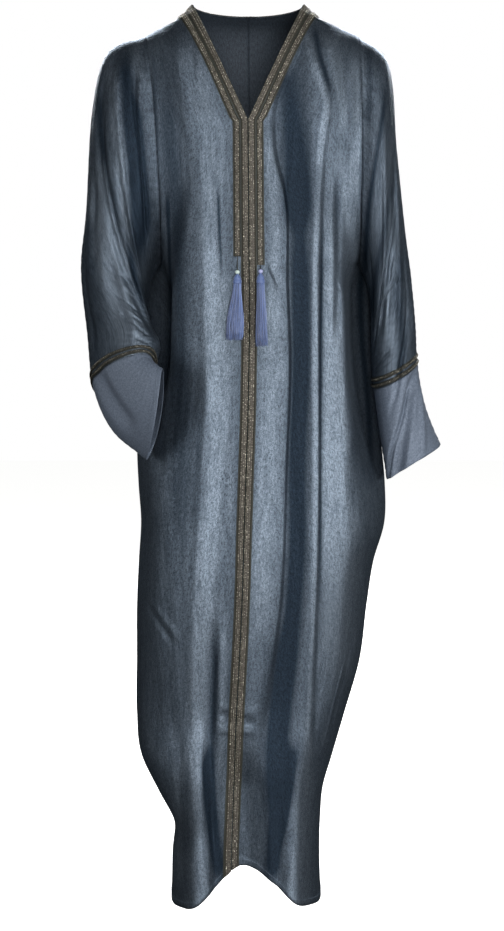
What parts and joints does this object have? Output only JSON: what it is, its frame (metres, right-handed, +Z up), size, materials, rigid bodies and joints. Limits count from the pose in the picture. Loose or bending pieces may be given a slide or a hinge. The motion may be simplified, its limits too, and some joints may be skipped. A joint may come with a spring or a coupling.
{
  "type": "abaya",
  "caption": "Long loose V-neck abaya in grey-blue satin, worn form, with braid down the front and at neck and cuffs, and a pair of blue tassels.",
  "frame": {"origin": "middle of the neck opening, level with the two neck points of the shoulder lines, where the wearer's shoulders and neck hold the garment", "axes": "+Z up along the garment, -Y out of its front, -X towards the wearer's right sleeve"},
  "size_m": [0.5628, 0.3695, 1.4003],
  "materials": {
    "satin": "satin with a metallic shimmer",
    "cuff_cloth": "matt",
    "braid": "metallic thread",
    "tassel_thread": "glossy thread"
  },
  "bodies": {
    "root": {"front_right": "satin", "front_left": "satin", "back_right": "satin", "back_left": "satin", "sleeve_right": "satin", "sleeve_left": "satin", "cuff_right": "cuff_cloth", "cuff_left": "cuff_cloth", "braid_inner_right": "braid", "braid_inner_left": "braid", "braid_outer_right": "braid", "braid_outer_left": "braid", "braid_back_1": "braid", "braid_back_2": "braid", "cuff_braid_right_1": "braid", "cuff_braid_right_2": "braid", "cuff_braid_left_1": "braid", "cuff_braid_left_2": "braid", "tassel_right": "tassel_thread", "tassel_left": "tassel_thread"}
  },
  "joints": []
}
